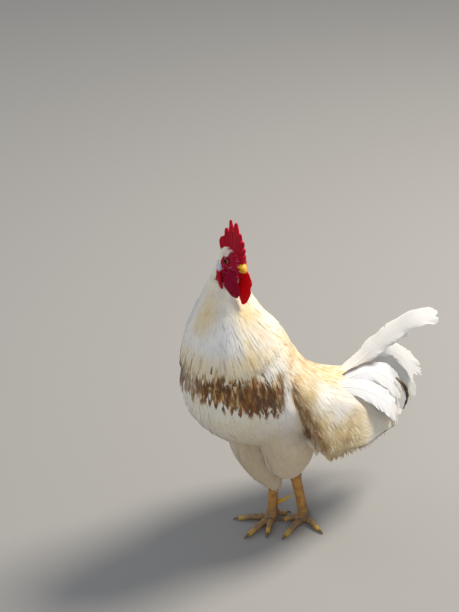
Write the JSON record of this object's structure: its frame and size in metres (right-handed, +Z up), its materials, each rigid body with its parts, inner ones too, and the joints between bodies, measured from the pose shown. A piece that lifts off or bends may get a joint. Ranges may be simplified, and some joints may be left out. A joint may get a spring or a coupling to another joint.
{
  "type": "rooster",
  "caption": "Standing cockerel with an upright comb, hanging wattles, a full neck hackle, folded wings and an arched tail, resting on its two feet.",
  "frame": {"origin": "centre of the overall box, at the floor the feet stand on", "axes": "+Z up, the bird's breast towards -Y and its tail towards +Y, its left side towards +X; the head is turned to its left, nearly towards +X"},
  "size_m": [0.1708, 0.434, 0.533],
  "materials": {
    "plumage": "soft cream and straw feathers with a brown mottled breast",
    "hackle": "cream neck feathers streaked with straw",
    "tail": "smooth white feathers",
    "comb_red": "fine-grained deep red skin",
    "lobe_white": "soft white skin",
    "bill_yellow": "smooth yellow horn",
    "leg_yellow": "scaly yellow skin, dusty on the feet",
    "claw_horn": "worn brown horn",
    "eye": "wet and glossy"
  },
  "bodies": {
    "root": {"beak_lower": "bill_yellow", "beak_upper": "bill_yellow", "claw_hind_left": "claw_horn", "claw_hind_right": "claw_horn", "claw_inner_left": "claw_horn", "claw_inner_right": "claw_horn", "claw_middle_left": "claw_horn", "claw_middle_right": "claw_horn", "claw_outer_left": "claw_horn", "claw_outer_right": "claw_horn", "comb": "comb_red", "covert_right": "tail", "earlobe_left": "lobe_white", "earlobe_right": "lobe_white", "eye_left": "eye", "eye_right": "eye", "head": "comb_red", "neck": "hackle", "shank_left": "leg_yellow", "shank_right": "leg_yellow", "sickle_left": "tail", "sickle_right": "tail", "spur_left": "bill_yellow", "spur_right": "bill_yellow", "tail_fan": "tail", "tail_lower": "tail", "tail_upper": "tail", "thigh_left": "plumage", "thigh_right": "plumage", "toe_hind_left": "leg_yellow", "toe_hind_right": "leg_yellow", "toe_inner_left": "leg_yellow", "toe_inner_right": "leg_yellow", "toe_middle_left": "leg_yellow", "toe_middle_right": "leg_yellow", "toe_outer_left": "leg_yellow", "toe_outer_right": "leg_yellow", "trunk": "plumage", "wattle_left": "comb_red", "wattle_right": "comb_red", "wing_left": "plumage", "wing_right": "plumage"}
  },
  "joints": []
}
